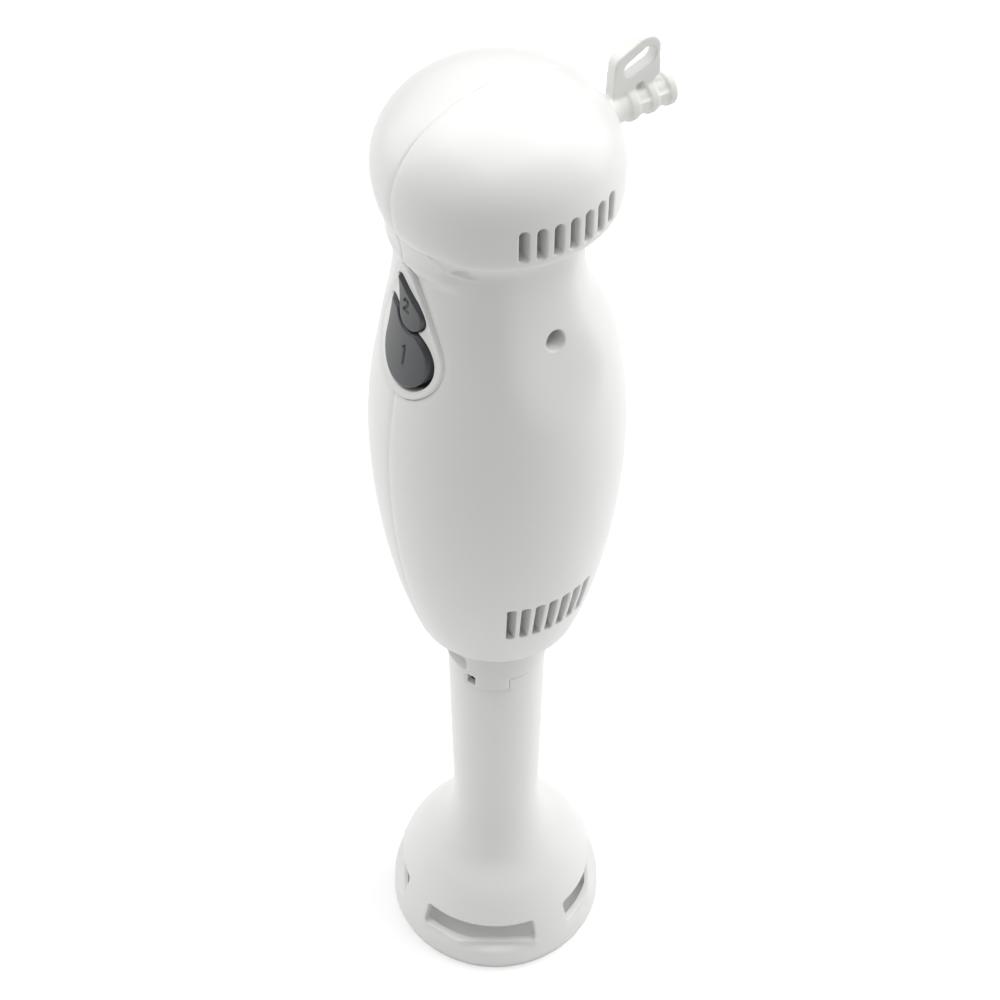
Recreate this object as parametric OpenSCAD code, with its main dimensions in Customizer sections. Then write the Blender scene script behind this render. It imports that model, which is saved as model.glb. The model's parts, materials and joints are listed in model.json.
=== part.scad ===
// Immersion blender: two-shell motor body, bayonet foot with a bell guard, and its drive train.
// The origin is on the blade axis in the plane of the bell's rim. +Z is up and the buttons face -Y.

/* [Overall] */
// Height from the bell's rim to the top of the head
total_h = 350; // [348:0.5:352]
// Radius of the mushroom head at its widest
cap_r = 32.2; // [31.8:0.1:33]
// Height of the head's widest circle
cap_z = 325.4; // [325:0.1:325.6]
// Height of the head's lower edge
cap_edge_z = 315.5; // [315:0.1:316]

/* [Motor body] */
// Radius of the barrel at its widest
belly_r = 36.3; // [36:0.1:37]
// Height of the barrel's widest circle
belly_z = 232; // [229:1:235]
// Radius of the front spine at the grip
spine_r = 28.8; // [28.4:0.1:29.2]
// Height of the body's lower lip
lip_z = 154; // [153.8:0.1:154.2]
// Radius of the body's lower lip
lip_r = 24; // [23.8:0.1:24.6]
// Wall thickness of the half shells
wall = 2.4; // [2.2:0.1:2.6]
// Radius of the thin rear part of the grip
grip_r = 25.2; // [24.9:0.1:25.5]
// How far the thin part of the grip sits towards the buttons
grip_shift = 3.2; // [3:0.1:3.4]
// Radius of curvature of each side's thumb hollow
hollow_r = 99; // [95:1:103]
// Distance from the blade axis to the floor of the thumb hollow at the grip
hollow_floor = 24; // [23.6:0.1:24.4]

/* [Vents] */
// Slots in each row
vent_count = 7; // [5:1:7]
// Width of a slot
vent_w = 2.6; // [2.2:0.1:2.8]
// Angle between slots in the head
vent_step_high = 8.1; // [8:0.1:8.4]
// Angle between slots low on the barrel
vent_step_low = 7.6; // [7.4:0.1:8]

/* [Buttons] */
// Travel of each button
press = 2.5; // [2:0.1:2.8]
// Gap round each button
button_gap = 0.4; // [0.35:0.05:0.5]

/* [Foot] */
// Radius of the bell at its rim
bell_r = 36.3; // [36:0.1:37]
// Radius of the tube at the bell
tube_low_r = 14.2; // [14:0.1:14.4]
// Radius of the tube at its mouth
tube_top_r = 15.3; // [15.3:0.1:15.4]
// Height of the tube's mouth
tube_top_z = 135; // [134.9:0.1:135]
// Inner radius of the bell's rim
bell_mouth_r = 33.6; // [33.4:0.1:33.8]
// Depth of the plain ring at the bell's mouth
mouth_len = 5; // [4:0.5:6]
// Tip radius of the blade
blade_tip_r = 23.5; // [20:0.5:25]

/* [Drive] */
// Radius of the motor shaft
motor_shaft_r = 3; // [2.8:0.1:3]
// Radius of the drive shaft in the foot
drive_shaft_r = 3; // [2.8:0.1:3]
// Running clearance of a shaft in its bush
run_gap = 0.05; // [0.03:0.01:0.08]

/* [Gland] */
// Height of the cord's line
gland_z = 326; // [325.8:0.1:326.5]
// Radius of the cord's passage
cord_r = 3.1; // [3:0.05:3.2]
// Outer radius of the strain relief
gland_r = 4.7; // [4.6:0.1:4.9]

/* [Hidden] */

white = "#f4f4f2";
off_white = "#e6e6e2";
dark_grey = "#4a4c4e";
mid_grey = "#8a8c8e";
steel = "#b8bcc0";
copper = "#b87333";
brass = "#c8a860";
black = "#202022";

eps = 0.01;
big = 200;
hollow_z = 305;
hollow_x = hollow_floor + hollow_r;
grip_z = 298;
mouth_hole_r = 16.05;
floor_t = 3;
floor_z = lip_z + floor_t;

screw_z = 284;
screw_seat_x = 8;
head_pad_y = -27.5;
head_pad_r = 3;

// Button outlines in the X-Z plane: [centre x, centre z, radius, tip x, tip z, tip radius]
egg_bezel = [0, 277.5, 14.2, 0, 301.5, 3.4];
egg_low = [1.4, 276.4, 9.8, -6.0, 289.8, 0.9];
egg_high = [2.6, 290.3, 4.6, -2.4, 299.6, 0.6];
low_post = [1.4, 275.5];
high_post = [2.6, 290.6];
post_r = 2.2;
post_end_y = -21.5;
carrier_y = -17.2;
carrier_t = 1.6;

vent_high_z0 = 318.2;
vent_high_z1 = 327.8;
vent_low_z0 = 176;
vent_low_z1 = 192;

// Cubic curve through n steps between two ends with two handles
function bez(a, b, c, d, n) =
  [for (i = [0:n]) let (t = i / n) (1-t)^3*a + 3*(1-t)^2*t*b + 3*(1-t)*t^2*c + t^3*d];

// Outline of two circles joined by their outer tangents
function egg(e, grow = 0, n = 28, m = 10) =
  let (
    dx = e[3] - e[0],
    dz = e[4] - e[1],
    r1 = e[2] + grow,
    r2 = e[5] + grow,
    a = atan2(dz, dx),
    b = acos((r1 - r2) / norm([dx, dz]))
  )
  concat(
    [for (i = [0:n]) let (t = a + b + (360 - 2*b) * i / n) [e[0] + r1*cos(t), e[1] + r1*sin(t)]],
    [for (i = [0:m]) let (t = a - b + 2*b * i / m) [e[3] + r2*cos(t), e[4] + r2*sin(t)]]
  );

// Points of a pie slice between two angles
function slice(a0, a1, r, n = 6) =
  concat([[0, 0]], [for (i = [0:n]) let (t = a0 + (a1 - a0) * i / n) [r*cos(t), r*sin(t)]]);

// ---- shapes used by several pieces ----

module ring(r_out, r_in, z0, z1) {
  translate([0, 0, z0]) difference() {
    cylinder(r = r_out, h = z1 - z0, $fn = 96);
    translate([0, 0, -1]) cylinder(r = r_in, h = z1 - z0 + 2, $fn = 96);
  }
}

module disc(r, z0, z1) {
  translate([0, 0, z0]) cylinder(r = r, h = z1 - z0, $fn = 96);
}

module wedge(a0, a1, r, z0, z1) {
  translate([0, 0, z0]) linear_extrude(z1 - z0) polygon(slice(a0, a1, r));
}

// A prism of an X-Z outline between two depths along Y
module through_y(y0, y1) {
  translate([0, y1, 0]) rotate([90, 0, 0]) linear_extrude(y1 - y0) children();
}

// A round bar along +X
module bar_x(x0, x1, y, z, r, fn = 48) {
  translate([x0, y, z]) rotate([0, 90, 0]) cylinder(r = r, h = x1 - x0, $fn = fn);
}

// A round bar along +Y
module bar_y(y0, y1, x, z, r, fn = 48) {
  translate([x, y1, z]) rotate([90, 0, 0]) cylinder(r = r, h = y1 - y0, $fn = fn);
}

// ---- motor body ----

// Barrel, grip and head as turned about the blade axis, with its surface moved in by t
module turned_body(t) {
  floor_cut = t > 0 ? floor_t : 0;
  lower = bez([lip_r - t, lip_z + floor_cut], [30 - t, 169], [belly_r - t, 200], [belly_r - t, belly_z], 10);
  upper = bez([belly_r - t, belly_z], [belly_r - t, 262], [spine_r - t, 276], [spine_r - t, 302], 10);
  under = bez([spine_r - t, 302], [spine_r - t, 310], [30 - t, 314], [30.9 - t, cap_edge_z], 3);
  side = bez([30.9 - t, cap_edge_z], [31.9 - t, 318.5], [cap_r - t, 322], [cap_r - t, cap_z], 4);
  dome = bez([cap_r - t, cap_z], [cap_r - t, 338 - t/2], [20 - t/2, total_h - t], [0, total_h - t], 12);
  rotate_extrude($fn = 120) polygon(concat([[0, lip_z + floor_cut]], lower, upper, under, side, dome));
}

// Everything outside the thin rear part of the grip
module grip_room(t) {
  rim = bez([36 - t, 270], [29 - t, 279], [grip_r - t, 288], [grip_r - t, grip_z], 6);
  neck = bez([grip_r - t, grip_z], [grip_r - t, 308], [27 - t, 314.5 + t], [31.5 - t, cap_edge_z + t], 6);
  translate([0, -grip_shift, 0]) rotate_extrude($fn = 120)
    polygon(concat([[0, 100], [60, 100], [60, 262]], rim, neck, [[60, cap_edge_z + t + 0.3], [60, 360], [0, 360]]));
}

module thumb_hollow(side, t) {
  difference() {
    translate([side * hollow_x, 60, hollow_z]) rotate([90, 0, 0]) cylinder(r = hollow_r + t, h = 120, $fn = 180);
    translate([-big, -big, cap_edge_z + t]) cube([2*big, 2*big, big]);
  }
}

// The body's outer surface moved in by t, without its openings
module body_form(t) {
  difference() {
    intersection() {
      turned_body(t);
      grip_room(t);
    }
    thumb_hollow(1, t);
    thumb_hollow(-1, t);
  }
}

module vent_slot(angle, z0, z1, corner) {
  rotate([0, 0, angle]) translate([24, 0, 0]) rotate([90, 0, 90]) linear_extrude(16)
    union() {
      translate([-vent_w/2, z0 + corner]) square([vent_w, z1 - z0 - 2*corner]);
      translate([corner - vent_w/2, z0]) square([vent_w - 2*corner + eps, z1 - z0]);
      for (x = [-1, 1], z = [z0 + corner, z1 - corner])
        translate([x * (vent_w/2 - corner), z]) circle(r = corner, $fn = 24);
    }
}

module vents(side) {
  base = side > 0 ? 0 : 180;
  for (i = [0:vent_count - 1]) {
    turn = i - (vent_count - 1) / 2;
    vent_slot(base + turn * vent_step_high, vent_high_z0, vent_high_z1, vent_w/2 - eps);
    vent_slot(base + turn * vent_step_low, vent_low_z0, vent_low_z1, 0.8);
  }
}

module half_space(side) {
  translate([side > 0 ? 0 : -100, -100, 0]) cube([100, 200, 400]);
}

module half_shell(side) {
  difference() {
    intersection() {
      difference() {
        body_form(0);
        body_form(wall);
      }
      half_space(side);
    }
    disc(mouth_hole_r, lip_z - 1, floor_z + 1);
    vents(side);
    through_y(-60, -15) polygon(egg(egg_bezel, 0.15));
    bar_y(20, 60, 0, gland_z, gland_r + 0.1);
  }
}

// Flat pad inside the front of the head, where the two halves are keyed together
module head_pad(side) {
  intersection() {
    bar_y(-40, head_pad_y, 0, gland_z, head_pad_r);
    body_form(wall/2);
    half_space(side);
  }
}

module housing_right() {
  color(white) difference() {
    union() {
      half_shell(1);
      head_pad(1);
      intersection() {
        bar_x(0, 40, 0, screw_z, 4.6);
        body_form(wall/2);
      }
    }
    bar_x(screw_seat_x, 60, 0, screw_z, 2.9);
    bar_x(-1, 60, 0, screw_z, 1.6);
  }
}

module housing_left() {
  color(white) difference() {
    union() {
      half_shell(-1);
      head_pad(-1);
      intersection() {
        bar_x(-40, 0, 0, screw_z, 4.0);
        body_form(wall/2);
      }
    }
    bar_x(-11, 1, 0, screw_z, 1.4);
  }
}

module housing_screw() {
  color(steel) difference() {
    union() {
      bar_x(screw_seat_x, screw_seat_x + 2, 0, screw_z, 2.7);
      bar_x(-10, screw_seat_x + eps, 0, screw_z, 1.4);
    }
    for (turn = [0, 90])
      translate([screw_seat_x + 1.5, 0, screw_z]) rotate([turn, 0, 0]) cube([2, 3, 0.7], center = true);
  }
}

// ---- buttons ----

module button_bezel() {
  color(white) difference() {
    intersection() {
      difference() {
        body_form(-0.5);
        body_form(wall);
      }
      through_y(-60, -15) polygon(egg(egg_bezel));
    }
    difference() {
      through_y(-60, -15) polygon(egg(egg_bezel, -1.3));
      body_form(0.2);
    }
    through_y(-60, -10) polygon(egg(egg_low, button_gap));
    through_y(-60, -10) polygon(egg(egg_high, button_gap));
  }
}

module button_face(lift) {
  intersection() {
    difference() {
      body_form(-lift);
      body_form(wall + 0.6);
    }
    through_y(-60, -15) children();
  }
}

module button_low() {
  color(dark_grey) union() {
    button_face(0.3) difference() {
      polygon(egg(egg_low));
      polygon(egg(egg_high, 1));
    }
    bar_y(-29, post_end_y, low_post[0], low_post[1], post_r);
  }
}

module button_high() {
  color(dark_grey) union() {
    button_face(0.7) polygon(egg(egg_high));
    bar_y(-27, post_end_y, high_post[0], high_post[1], post_r);
  }
}

// A return spring as closed rings joined by short posts
module coil_spring(at, y0, y1) {
  turns = 4;
  wire = 0.25;
  pitch = (y1 - y0 - 2*wire) / (turns - 1);
  for (i = [0:turns - 1])
    translate([at[0], y0 + wire + i * pitch, at[1]]) rotate([90, 0, 0])
      rotate_extrude($fn = 48) translate([post_r + 0.7, 0]) circle(r = wire, $fn = 16);
  for (i = [0:turns - 2])
    bar_y(y0 + wire + i * pitch, y0 + wire + (i + 1) * pitch,
      at[0] + (post_r + 0.7) * (i % 2 == 0 ? 1 : -1), at[1], wire, 16);
}

low_back_y = -27.2;
high_back_y = -24.6;

module button_spring_low() {
  color(steel) coil_spring(low_post, low_back_y, carrier_y);
}

module button_spring_high() {
  color(steel) coil_spring(high_post, high_back_y, carrier_y);
}

module switch_carrier() {
  color(off_white) difference() {
    through_y(carrier_y, carrier_y + carrier_t)
      translate([-10, 264]) square([20, 38]);
    bar_y(carrier_y - 1, carrier_y + 4, low_post[0], low_post[1], post_r + 0.4);
    bar_y(carrier_y - 1, carrier_y + 4, high_post[0], high_post[1], post_r + 0.4);
  }
}

module microswitch(at) {
  body_l = 12.4;
  body_w = 6.2;
  union() {
    translate([at[0] - body_w/2, carrier_y + carrier_t, at[1] - body_l/2]) cube([body_w, switch_depth, body_l]);
    bar_y(plunger_y, carrier_y + carrier_t + eps, at[0], at[1], 1.2);
  }
}

switch_depth = 6;
plunger_y = -18.7;
board_y = carrier_y + carrier_t + switch_depth;
board_t = 1.6;

module microswitch_low() {
  color(black) microswitch(low_post);
}

module microswitch_high() {
  color(black) microswitch(high_post);
}

module circuit_board() {
  color("#2f6b3c") intersection() {
    through_y(board_y, board_y + board_t) translate([-15, 274]) square([30, 38]);
    body_form(wall + 0.2);
  }
}

module capacitor() {
  color("#c8b030") translate([-8, board_y + board_t, 293]) cube([16, 8, 16]);
}

// ---- cord outlet ----

gland_end_y = 53.5;
rib_t = 2.2;
rib_y = [40, 46.1, 52.2];

module hanging_loop() {
  difference() {
    translate([-1.7, 0, 0]) rotate([90, 0, 90]) linear_extrude(3.4) difference() {
      hull() {
        translate([37.1, 332]) circle(r = 2.6, $fn = 32);
        translate([37.9, 339.5]) circle(r = 3.2, $fn = 32);
        translate([44.7, 340.6]) circle(r = 4.6, $fn = 32);
        translate([47.3, 333]) circle(r = 2.2, $fn = 32);
      }
      translate([loop_y0 + loop_hole_r, loop_z - loop_hole_r]) square([loop_y1 - loop_y0 - 2*loop_hole_r, 2*loop_hole_r]);
      for (y = [loop_y0 + loop_hole_r, loop_y1 - loop_hole_r])
        translate([y, loop_z]) circle(r = loop_hole_r, $fn = 32);
    }
    bar_y(30, 60, 0, gland_z, cord_r + 0.3);
  }
}

loop_y0 = 37.9;
loop_y1 = 47.1;
loop_z = 338.2;
loop_hole_r = 2.3;

module cord_gland() {
  color(white) difference() {
    union() {
      bar_y(26.8, 29, 0, gland_z, 6.2);
      bar_y(22, 36, 0, gland_z, gland_r);
      bar_y(35, gland_end_y - 1, 0, gland_z, gland_r - 0.6);
      for (y = rib_y) bar_y(y - rib_t/2, y + rib_t/2, 0, gland_z, gland_r + 0.2);
      hanging_loop();
    }
    bar_y(20, 60, 0, gland_z, cord_r);
    for (y = [rib_y[0] + rib_t/2 + 0.7, rib_y[1] + rib_t/2 + 0.7], top = [0, 1])
      translate([-1.6, y, gland_z + (top == 1 ? 1 : -7)]) cube([3.2, 2.5, 6]);
  }
}

clamp_pitch = 7.5;
clamp_y0 = 16;
clamp_y1 = 21;

module cord_clamp() {
  color(off_white) difference() {
    translate([cord_r + 0.3, clamp_y0, gland_z - 11]) cube([2.4, clamp_y1 - clamp_y0, 22]);
    for (s = [-1, 1]) bar_x(0, 20, (clamp_y0 + clamp_y1)/2, gland_z + s * clamp_pitch, 1.3);
  }
}

module clamp_posts() {
  intersection() {
    for (s = [-1, 1]) difference() {
      bar_x(-40, cord_r + 0.3, (clamp_y0 + clamp_y1)/2, gland_z + s * clamp_pitch, 2.6);
      bar_x(-8, 20, (clamp_y0 + clamp_y1)/2, gland_z + s * clamp_pitch, 1.1);
    }
    body_form(wall/2);
  }
}

module clamp_screws() {
  color(steel) for (s = [-1, 1]) {
    y = (clamp_y0 + clamp_y1)/2;
    z = gland_z + s * clamp_pitch;
    union() {
      bar_x(-7, cord_r + 2.8, y, z, 1.1);
      bar_x(cord_r + 2.7, cord_r + 4.3, y, z, 2.2);
    }
  }
}

// A wire through a list of points
module wire(points, r) {
  for (p = points) translate(p) sphere(r = r, $fn = 24);
  for (i = [0:len(points) - 2]) {
    d = points[i + 1] - points[i];
    translate(points[i])
      rotate([0, acos(d[2] / norm(d)), atan2(d[1], d[0])])
      cylinder(r = r, h = norm(d), $fn = 24);
  }
}

lead_r = 0.9;
lead_x = 18;

module motor_leads() {
  color("#a03028") for (s = [-1, 1])
    wire([[s*lead_x, 0, brush_z + brush_h/2 + 2.4], [s*lead_x, -3.5, 264], [s*11, board_y + board_t + lead_r, 277]], lead_r);
}

// ---- motor ----

stack_z0 = 208;
stack_z1 = 236;
stack_r = 28;
bore_r = 15.4;
core_r = 15.0;
bolt_at = 16.1;
bolt_r = 1.3;
lower_plate_z = 165;
upper_plate_z = 259;
plate_t = 3;
bearing_r = 7.5;
bearing_h = 5;
brush_z = 250;
brush_w = 5;
brush_h = 6;
commutator_r = 9;
poles = [0, 180];

module bolt_circle(r, z0, z1) {
  for (x = [-1, 1], y = [-1, 1])
    translate([x * bolt_at, y * bolt_at, z0]) cylinder(r = r, h = z1 - z0, $fn = 32);
}

module motor_stator() {
  color(mid_grey) difference() {
    union() {
      ring(stack_r, 22.5, stack_z0, stack_z1);
      for (a = poles) intersection() {
        ring(23, bore_r, stack_z0, stack_z1);
        wedge(a - 52, a + 52, 40, stack_z0, stack_z1);
      }
    }
    bolt_circle(bolt_r + 0.1, stack_z0 - 1, stack_z1 + 1);
  }
}

module field_coils() {
  color(copper) union() {
    ring(21.2, 16.4, stack_z0 - 5.5, stack_z0 - 0.1);
    ring(21.2, 16.4, stack_z1 + 0.1, stack_z1 + 5.5);
    for (a = poles) intersection() {
      ring(21.2, 16.4, stack_z0 - 1, stack_z1 + 1);
      wedge(a + 58, a + 122, 40, stack_z0 - 1, stack_z1 + 1);
    }
  }
}

module end_bracket(r, z, boss_z0, boss_z1, seat_z0) {
  difference() {
    union() {
      disc(r, z, z + plate_t);
      disc(bearing_r + 2.5, boss_z0, boss_z1);
    }
    for (a = [45:90:315]) rotate([0, 0, a])
      translate([r * 0.5, 0, z - 1]) cylinder(r = 3, h = plate_t + 2, $fn = 32);
    disc(bearing_r, seat_z0, seat_z0 + bearing_h);
    disc(motor_shaft_r + 1.2, boss_z0 - 1, boss_z1 + 1);
    bolt_circle(bolt_r + 0.1, z - 1, z + plate_t + 1);
  }
}

lower_seat_z = 160.4;
upper_seat_z = 263;

module lower_bracket() {
  color(off_white) end_bracket(24.5, lower_plate_z, 160.4, 168, lower_seat_z);
}

module upper_bracket() {
  color(off_white) difference() {
    end_bracket(30, upper_plate_z, upper_plate_z, 268, upper_seat_z);
    for (s = [-1, 1]) translate([s*lead_x, -2.1, upper_plate_z - 1]) cylinder(r = 2.4, h = plate_t + 2, $fn = 32);
  }
}

module bracket_screws() {
  color(steel) union() {
    bolt_circle(bolt_r, lower_plate_z - 0.5, upper_plate_z + plate_t + 0.5);
    bolt_circle(2.6, upper_plate_z + plate_t, upper_plate_z + plate_t + 2.4);
  }
}

module bearing(z) {
  color(steel) difference() {
    disc(bearing_r, z, z + bearing_h);
    disc(motor_shaft_r + run_gap, z - 1, z + bearing_h + 1);
    for (s = [-0.5, bearing_h - 0.5]) ring(bearing_r - 1.2, motor_shaft_r + 1.4, z + s, z + s + 1);
  }
}

module lower_bearing() {
  bearing(lower_seat_z);
}

module upper_bearing() {
  bearing(upper_seat_z);
}

module lower_damper() {
  color(black) ring(bearing_r + 6, bearing_r + 2.55, 161, 164.9);
}

module upper_damper() {
  color(black) ring(bearing_r + 5.5, bearing_r + 2.55, 262.1, 267);
}

module brush_holders() {
  color(brass) for (a = poles) rotate([0, 0, a]) difference() {
    translate([11.5, -brush_w/2 - 1.2, brush_z - brush_h/2 - 1.2]) cube([15, brush_w + 2.4, brush_h + 2.4]);
    translate([10, -brush_w/2, brush_z - brush_h/2]) cube([14, brush_w, brush_h]);
  }
}

module carbon_brushes() {
  color(black) for (a = poles) rotate([0, 0, a]) difference() {
    translate([8, -brush_w/2, brush_z - brush_h/2]) cube([12, brush_w, brush_h]);
    disc(commutator_r + 0.3, brush_z - brush_h, brush_z + brush_h);
  }
}

module motor_shaft() {
  color(steel) disc(motor_shaft_r, 150.5, 270);
}

module armature() {
  slots = 12;
  color(mid_grey) difference() {
    disc(core_r, stack_z0, stack_z1);
    disc(motor_shaft_r, stack_z0 - 1, stack_z1 + 1);
    for (i = [0:slots - 1]) rotate([0, 0, i * 360 / slots])
      translate([core_r - 3.6, -0.9, stack_z0 - 1]) cube([5, 1.8, stack_z1 - stack_z0 + 2]);
  }
}

module armature_windings() {
  color(copper) union() {
    ring(13, motor_shaft_r, stack_z0 - 6, stack_z0);
    ring(13, motor_shaft_r, stack_z1, stack_z1 + 6);
  }
}

module commutator() {
  bars = 12;
  color(brass) difference() {
    ring(commutator_r, motor_shaft_r, brush_z - 5.5, brush_z + 5);
    for (i = [0:bars - 1]) rotate([0, 0, i * 360 / bars])
      translate([commutator_r - 0.8, -0.25, brush_z - 6]) cube([2, 0.5, 12]);
  }
}

module cooling_fan() {
  blades = 9;
  z0 = 179;
  color(dark_grey) union() {
    ring(6, motor_shaft_r, z0 - 2, z0 + 9);
    ring(20.5, 5.5, z0 + 8, z0 + 9.4);
    for (i = [0:blades - 1]) rotate([0, 0, i * 360 / blades])
      translate([5.5, -0.6, z0]) cube([14.5, 1.2, 8.5]);
  }
}

// ---- coupling ----

cup_z0 = 140;
cup_z1 = 158;
cup_r = 9;
cup_in_r = 7;
dog_half = 12;

module drive_coupler() {
  color(black) difference() {
    disc(cup_r, cup_z0, cup_z1);
    difference() {
      disc(cup_in_r, cup_z0 - 1, cup_z0 + 9.5);
      for (a = poles) intersection() {
        ring(cup_in_r + 1, 4.6, cup_z0, cup_z0 + 10);
        wedge(a - dog_half, a + dog_half, 20, cup_z0, cup_z0 + 10);
      }
    }
    disc(motor_shaft_r, 150.5, cup_z1 + 1);
  }
}

collar_z0 = tube_top_z + 0.4;
collar_r = 15.9;
collar_in_r = 13.4;
flange_z1 = 160.2;
pocket_z = floor_z + 1.2;
tongue_a0 = -60;
tongue_a1 = -20.5;
twist = 12;
tongue_z = 130.8;

module mouth_collar() {
  color(white) difference() {
    union() {
      ring(collar_r, collar_in_r, collar_z0, floor_z + 0.5);
      ring(19, collar_in_r, floor_z, flange_z1);
      intersection() {
        ring(collar_r, collar_in_r + 0.2, tongue_z, collar_z0 + eps);
        wedge(tongue_a0, tongue_a1, 30, tongue_z, collar_z0 + 1);
      }
    }
    disc(17, pocket_z, flange_z1 + 1);
    wedge(-112, -68, 30, 137, 150);
  }
}

key_a = [90, 270];

module bayonet_ring() {
  color(dark_grey) union() {
    ring(13, 11.2, 127, pocket_z + 1);
    ring(16.6, 11.2, pocket_z + 0.15, pocket_z + 1.8);
    for (a = key_a) intersection() {
      ring(13.9, 12.5, 127.2, 134.8);
      wedge(a - 9, a + 9, 20, 127.2, 134.8);
    }
  }
}

// ---- foot ----

upper_bush_z = 110;
upper_bush_len = 9;
lower_bush_z = 28;
lower_bush_len = 16;
bush_r = 5.5;
boss_z0 = 20.5;
seal_z0 = 22.6;

module foot_form() {
  bell = bez([bell_r, 0], [bell_r, 14], [32, 24.5], [27, 31], 10);
  throat = bez([27, 31], [21.6, 38], [tube_low_r + 0.2, 40], [tube_low_r, 60], 10);
  rotate_extrude($fn = 120) polygon(concat([[0, 0]], bell, throat, [[tube_top_r, tube_top_z], [0, tube_top_z]]));
}

module bell_room() {
  roof = bez([bell_mouth_r, mouth_len], [31.6, 8], [31.4, 20], [24.5, 28], 8);
  rotate_extrude($fn = 120) polygon(concat([[0, -1], [bell_mouth_r, -1]], roof, [[16, 36], [12, 38], [0, 38]]));
}

// One bent slot of the guard: a short facet and a long one, each with a shallow outer step
module guard_slot(centre) {
  bends = [-34, -12, 34];
  flat = 35.6;
  inner = 20;
  chain = [for (a = bends) [flat * cos(a), flat * sin(a)]];
  outer = [for (a = [34, -12, -34]) [52 * cos(a), 52 * sin(a)]];
  rotate([0, 0, centre]) {
    translate([0, 0, 9.6]) linear_extrude(11.6) polygon(concat(chain, outer));
    translate([0, 0, 12.4]) linear_extrude(7.6)
      polygon([[inner * cos(33), -inner * sin(33)], [50 * cos(33), -50 * sin(33)],
               [50 * cos(33), 50 * sin(33)], [inner * cos(33), inner * sin(33)]]);
  }
}
module foot() {
  color(white) difference() {
    union() {
      difference() {
        foot_form();
        bell_room();
        translate([0, 0, 46]) cylinder(r1 = 11.6, r2 = 12.8, h = upper_bush_z - 44, $fn = 96);
        disc(13.3, 122, tube_top_z + 1);
      }
      disc(8.5, boss_z0, 39);
    }
    for (i = [0:3]) guard_slot(-45 + 90 * i);
    disc(bush_r, seal_z0, 47);
    disc(bush_r, upper_bush_z, 123);
    disc(4, boss_z0 - 1, seal_z0 + 1);
    intersection() {
      ring(20, 12, tongue_z - 0.5, tube_top_z + 1);
      wedge(tongue_a0 - twist - 0.6, tongue_a1 + 0.8, 30, tongue_z - 0.5, tube_top_z + 1);
    }
    for (a = key_a) intersection() {
      ring(14.2, 12, 126.6, tube_top_z + 1);
      wedge(a - 10.5, a + 10.5, 20, 126.6, tube_top_z + 1);
    }
  }
}

module bush(z, len) {
  color(brass) ring(bush_r, drive_shaft_r + run_gap, z, z + len);
}

module upper_bushing() {
  bush(upper_bush_z, upper_bush_len);
}

module lower_bushing() {
  bush(lower_bush_z, lower_bush_len);
}

module shaft_seal() {
  color(black) ring(bush_r, drive_shaft_r + run_gap, seal_z0, lower_bush_z - 0.2);
}

module seal_clip() {
  color(steel) ring(3.95, drive_shaft_r + 0.3, boss_z0 + 0.4, boss_z0 + 1.6);
}

module drive_shaft() {
  color(steel) disc(drive_shaft_r, 5, 149);
}

module shaft_tang() {
  color(black) difference() {
    union() {
      disc(3.9, 136, 148.8);
      for (a = poles) intersection() {
        ring(6.5, 3.5, cup_z0 + 0.6, 148.8);
        wedge(a + 90 - dog_half, a + 90 + dog_half, 20, cup_z0 + 0.6, 148.8);
      }
    }
    disc(drive_shaft_r, 130, 149);
  }
}

hub_r = 4.6;

module blade_hub() {
  color(off_white) difference() {
    union() {
      disc(hub_r, 6, 17.5);
      disc(7, 11, 12.2);
    }
    disc(drive_shaft_r, 5, 20);
  }
}

module blade() {
  color(steel) difference() {
    union() {
      disc(8, 8.9, 10.1);
      for (a = poles) rotate([0, 0, a]) translate([4, 0, 9.5]) rotate([a == 0 ? 12 : -12, 0, 0])
        translate([0, 0, -0.6]) linear_extrude(1.2)
          polygon([[0, -4.5], [0, 4.5], [blade_tip_r - 7, 3.2], [blade_tip_r - 4, -1], [blade_tip_r - 5, -4.2]]);
    }
    disc(hub_r, 5, 15);
  }
}

housing_right();
housing_left();
housing_screw();
button_bezel();
button_low();
button_high();
button_spring_low();
button_spring_high();
switch_carrier();
microswitch_low();
microswitch_high();
circuit_board();
capacitor();
cord_gland();
cord_clamp();
clamp_screws();
motor_leads();
motor_stator();
field_coils();
upper_bracket();
lower_bracket();
bracket_screws();
brush_holders();
carbon_brushes();
upper_bearing();
lower_bearing();
upper_damper();
lower_damper();
motor_shaft();
armature();
armature_windings();
commutator();
cooling_fan();
drive_coupler();
mouth_collar();
bayonet_ring();
foot();
upper_bushing();
lower_bushing();
shaft_seal();
seal_clip();
drive_shaft();
shaft_tang();
blade_hub();
blade();
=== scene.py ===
# Hand blender: white moulded body, two dark buttons, ribbed cord gland, bayonet foot.
import json
import math

import bmesh
import bpy
import numpy as np
from mathutils import Matrix, Vector
from mathutils.geometry import delaunay_2d_cdt


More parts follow.
